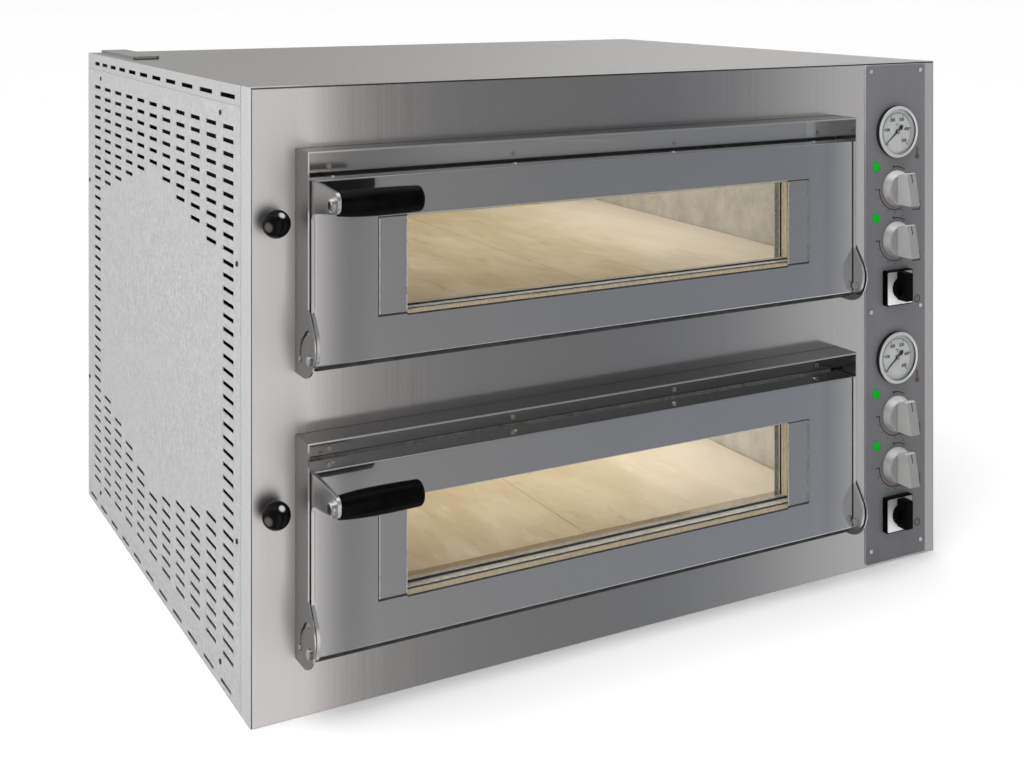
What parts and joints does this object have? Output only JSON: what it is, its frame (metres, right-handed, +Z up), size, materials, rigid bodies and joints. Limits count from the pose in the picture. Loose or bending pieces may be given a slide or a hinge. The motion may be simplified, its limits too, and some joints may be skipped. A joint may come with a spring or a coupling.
{
  "type": "countertop pizza oven",
  "caption": "Countertop electric pizza oven with stacked stone-floored chambers, drop-down glazed doors, pull dampers, gauges, heat knobs and rotary switches on one side.",
  "frame": {"origin": "Centre of the base footprint, on the plane the oven rests on.", "axes": "+X to the user's right, -Y towards the user standing at the doors, +Z up."},
  "size_m": [1.0024, 0.9342, 0.695],
  "materials": {
    "brushed_stainless": "satin, vertical grain",
    "stainless_door": "satin, horizontal grain",
    "bright_stainless": "bright annealed, nearly mirror",
    "galvanised_sheet": "galvanised, faint spangle",
    "aluminised_sheet": "aluminised, matt, heat-toned",
    "plated_screw": "zinc plated",
    "plated_bolt": "zinc plated, smooth",
    "fibre_rope": "braided glass fibre",
    "element_sheath": "oxidised sheath",
    "fire_clay": "fine pitted fire clay",
    "mineral_wool": "mineral wool blanket",
    "instrument_plate": "satin grey with dark red markings",
    "gauge_case_sheet": "plain",
    "bezel_chrome": "polished",
    "dial_paint": "matt white, black scale",
    "needle_paint": "matt black",
    "clear_glass": "clear",
    "door_glass": "clear, tempered",
    "dark_plastic": "moulded, satin",
    "grip_plastic": "turned, semi-gloss",
    "ball_plastic": "polished",
    "knob_silver": "silver-grey with a black pointer line",
    "lamp_green": "translucent green",
    "switch_black": "moulded",
    "switch_escutcheon": "satin",
    "rod_steel": "drawn",
    "gland_plastic": "nylon",
    "terminal_plastic": "moulded"
  },
  "bodies": {
    "oven_casing": {"base_tray": "galvanised_sheet", "front_panel": "brushed_stainless", "left_side_panel": "galvanised_sheet", "right_side_panel": "galvanised_sheet", "back_panel": "galvanised_sheet", "top_cover": "galvanised_sheet", "steam_outlet_cowl": "galvanised_sheet", "casing_screws": "plated_screw", "header_screws": "plated_screw", "pivot_bolts": "plated_bolt", "mouth_frames": "bright_stainless", "door_gaskets": "fibre_rope", "heating_elements": "element_sheath", "stone_slabs": "fire_clay", "insulation_blankets": "mineral_wool", "service_bay_wall": "galvanised_sheet", "flue_duct": "galvanised_sheet", "control_plate": "instrument_plate", "gauge_cases": "gauge_case_sheet", "gauge_bezels": "bezel_chrome", "gauge_dials": "dial_paint", "gauge_lenses": "clear_glass", "thermostat_bodies": "dark_plastic", "pilot_lamps": "lamp_green", "switch_bodies": "switch_black", "switch_plates": "switch_escutcheon", "cable_gland": "gland_plastic", "terminal_block": "terminal_plastic", "lower_door_surround": "stainless_door", "upper_door_surround": "stainless_door", "lower_chamber_liner": "aluminised_sheet", "upper_chamber_liner": "aluminised_sheet"},
    "lower_door": {"lower_door_skin": "stainless_door", "lower_door_liner": "bright_stainless", "lower_door_glass": "door_glass", "lower_glass_retainers": "bright_stainless", "lower_door_arm_left": "stainless_door", "lower_door_arm_right": "stainless_door", "lower_handle_grip": "grip_plastic", "lower_door_fasteners": "plated_bolt"},
    "lower_damper": {"lower_damper_rod": "rod_steel", "lower_damper_knob": "ball_plastic"},
    "lower_top_heat_dial": {"lower_top_heat_knob": "knob_silver"},
    "lower_bottom_heat_dial": {"lower_bottom_heat_knob": "knob_silver"},
    "lower_switch_grip": {"lower_switch_handle": "switch_black"},
    "lower_needle": {"lower_gauge_needle": "needle_paint"},
    "upper_door": {"upper_door_skin": "stainless_door", "upper_door_liner": "bright_stainless", "upper_door_glass": "door_glass", "upper_glass_retainers": "bright_stainless", "upper_door_arm_left": "stainless_door", "upper_door_arm_right": "stainless_door", "upper_handle_grip": "grip_plastic", "upper_door_fasteners": "plated_bolt"},
    "upper_damper": {"upper_damper_rod": "rod_steel", "upper_damper_knob": "ball_plastic"},
    "upper_top_heat_dial": {"upper_top_heat_knob": "knob_silver"},
    "upper_bottom_heat_dial": {"upper_bottom_heat_knob": "knob_silver"},
    "upper_switch_grip": {"upper_switch_handle": "switch_black"},
    "upper_needle": {"upper_gauge_needle": "needle_paint"}
  },
  "joints": [
    {"name": "lower_door_swing", "type": "hinge", "parent": "oven_casing", "child": "lower_door", "pos_m": [-0.0625, -0.4405, 0.0875], "axis": [1, 0, 0], "range_deg": [0, 90]},
    {"name": "lower_damper_pull", "type": "slide", "parent": "oven_casing", "child": "lower_damper", "axis": [0, -1, 0], "range_m": [0, 0.045]},
    {"name": "lower_top_heat_turn", "type": "hinge", "parent": "oven_casing", "child": "lower_top_heat_dial", "pos_m": [0.4262, -0.405, 0.2038], "axis": [0, 1, 0], "range_deg": [0, 270]},
    {"name": "lower_bottom_heat_turn", "type": "hinge", "parent": "oven_casing", "child": "lower_bottom_heat_dial", "pos_m": [0.4262, -0.405, 0.1329], "axis": [0, 1, 0], "range_deg": [0, 270]},
    {"name": "lower_switch_turn", "type": "hinge", "parent": "oven_casing", "child": "lower_switch_grip", "pos_m": [0.4262, -0.409, 0.0672], "axis": [0, 1, 0], "range_deg": [0, 90]},
    {"name": "lower_needle_swing", "type": "hinge", "parent": "oven_casing", "child": "lower_needle", "pos_m": [0.4262, -0.4, 0.2822], "axis": [0, 1, 0], "range_deg": [0, 255]},
    {"name": "upper_door_swing", "type": "hinge", "parent": "oven_casing", "child": "upper_door", "pos_m": [-0.0625, -0.4405, 0.4], "axis": [1, 0, 0], "range_deg": [0, 90]},
    {"name": "upper_damper_pull", "type": "slide", "parent": "oven_casing", "child": "upper_damper", "axis": [0, -1, 0], "range_m": [0, 0.045]},
    {"name": "upper_top_heat_turn", "type": "hinge", "parent": "oven_casing", "child": "upper_top_heat_dial", "pos_m": [0.4262, -0.405, 0.5163], "axis": [0, 1, 0], "range_deg": [0, 270]},
    {"name": "upper_bottom_heat_turn", "type": "hinge", "parent": "oven_casing", "child": "upper_bottom_heat_dial", "pos_m": [0.4262, -0.405, 0.4454], "axis": [0, 1, 0], "range_deg": [0, 270]},
    {"name": "upper_switch_turn", "type": "hinge", "parent": "oven_casing", "child": "upper_switch_grip", "pos_m": [0.4262, -0.409, 0.3797], "axis": [0, 1, 0], "range_deg": [0, 90]},
    {"name": "upper_needle_swing", "type": "hinge", "parent": "oven_casing", "child": "upper_needle", "pos_m": [0.4262, -0.4, 0.5947], "axis": [0, 1, 0], "range_deg": [0, 255]}
  ]
}
